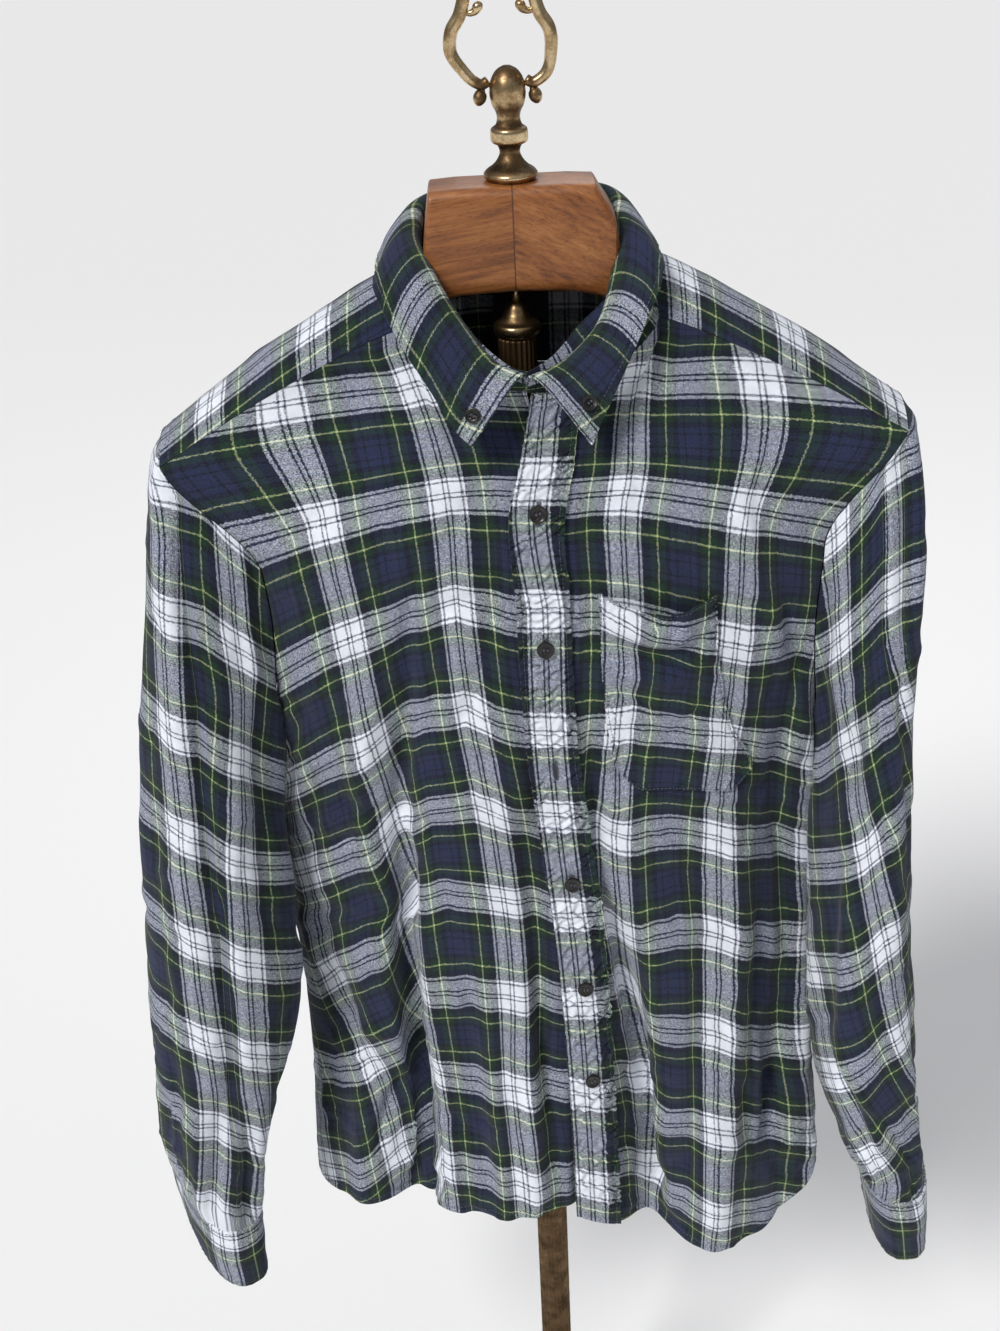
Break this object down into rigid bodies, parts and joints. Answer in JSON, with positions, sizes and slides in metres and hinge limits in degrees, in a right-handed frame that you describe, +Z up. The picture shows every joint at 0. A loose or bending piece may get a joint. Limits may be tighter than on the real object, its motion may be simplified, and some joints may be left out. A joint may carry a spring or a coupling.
{
  "type": "long-sleeved button-down shirt on a valet stand",
  "caption": "Checked long-sleeved shirt with a button-down collar and chest pocket, hung on a shaped wooden hanger on a turned brass valet stand.",
  "frame": {"origin": "centre of the stand's flat base, on the floor", "axes": "+Z up; -Y is the front of the shirt, which faces it; +X is the wearer's left"},
  "size_m": [0.5922, 0.3, 1.3763],
  "materials": {
    "cloth": "brushed cotton flannel, yarn-dyed check in navy, green, black, white and yellow",
    "label": "plain dark woven label, no print",
    "button": "dark four-hole shirt buttons",
    "wood": "oiled reddish-brown hardwood",
    "brass": "aged satin brass"
  },
  "bodies": {
    "root": {"front_left": "cloth", "front_right": "cloth", "placket": "cloth", "pocket": "cloth", "back": "cloth", "yoke": "cloth", "sleeve_left": "cloth", "sleeve_right": "cloth", "cuff_left": "cloth", "cuff_right": "cloth", "collar": "cloth", "collar_stand": "cloth", "label": "label", "button_1": "button", "button_2": "button", "button_3": "button", "button_4": "button", "button_5": "button", "button_collar_left": "button", "button_collar_right": "button", "button_cuff_left": "button", "button_cuff_right": "button", "hanger": "wood", "finial": "brass", "handle": "brass", "column_cap": "brass", "column": "brass", "base": "brass"}
  },
  "joints": []
}
